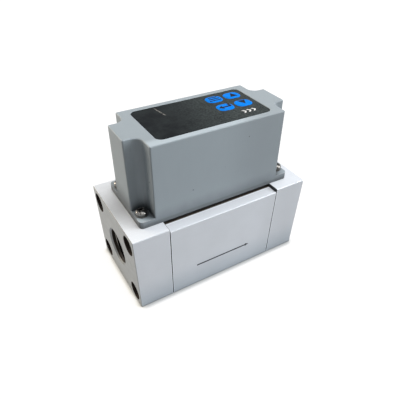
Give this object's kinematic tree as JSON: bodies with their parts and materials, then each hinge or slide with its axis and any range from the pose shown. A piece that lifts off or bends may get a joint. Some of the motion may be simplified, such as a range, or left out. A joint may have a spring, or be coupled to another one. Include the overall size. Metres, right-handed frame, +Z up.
{
  "type": "gas mass flow meter",
  "caption": "In-line gas mass flow meter: bolted metal flow body between threaded ports, under a cast electronics housing with a display window and keys.",
  "frame": {"origin": "centre of the face that the meter stands on", "axes": "+X along the flow from inlet to outlet, +Y from the front towards the back, +Z up"},
  "size_m": [0.11, 0.056, 0.0932],
  "materials": {
    "block_metal": "satin",
    "housing_paint": "satin",
    "window_film": "gloss",
    "bright_screws": "polished",
    "bolt_steel": "satin",
    "screen_steel": "satin",
    "plate_metal": "satin",
    "connector_metal": "satin",
    "post_brass": "satin",
    "rubber": "matte",
    "moulding": "matte",
    "circuit_board": "satin",
    "chip": "satin",
    "display_glass": "gloss"
  },
  "bodies": {
    "root": {"inlet_block": "block_metal", "outlet_block": "block_metal", "flow_body": "block_metal", "inlet_seal": "rubber", "outlet_seal": "rubber", "sensor_seal": "rubber", "connector_seal": "rubber", "neck_gasket": "rubber", "inlet_bolts": "bolt_steel", "outlet_bolts": "bolt_steel", "front_screen": "screen_steel", "rear_screen": "screen_steel", "screen_spacer": "screen_steel", "flow_straightener": "moulding", "sensor_carrier": "moulding", "sensor_board": "circuit_board", "sensor_chip": "chip", "sensor_screws": "bolt_steel", "housing": "housing_paint", "window_film": "window_film", "housing_screws": "bright_screws", "base_plate": "plate_metal", "base_plate_screws": "bolt_steel", "lower_posts": "post_brass", "upper_posts": "post_brass", "main_board": "circuit_board", "display_board": "circuit_board", "board_screws": "bolt_steel", "sensor_socket": "moulding", "processor": "chip", "stacking_header": "moulding", "supply_capacitor": "plate_metal", "display_frame": "moulding", "display_glass": "display_glass", "key_switches": "moulding", "lead_plug": "moulding", "connector_shell": "connector_metal", "connector_insert": "moulding", "connector_pins": "post_brass", "connector_nut": "connector_metal", "power_lead": "rubber", "screw_washers": "bright_screws"}
  },
  "joints": []
}
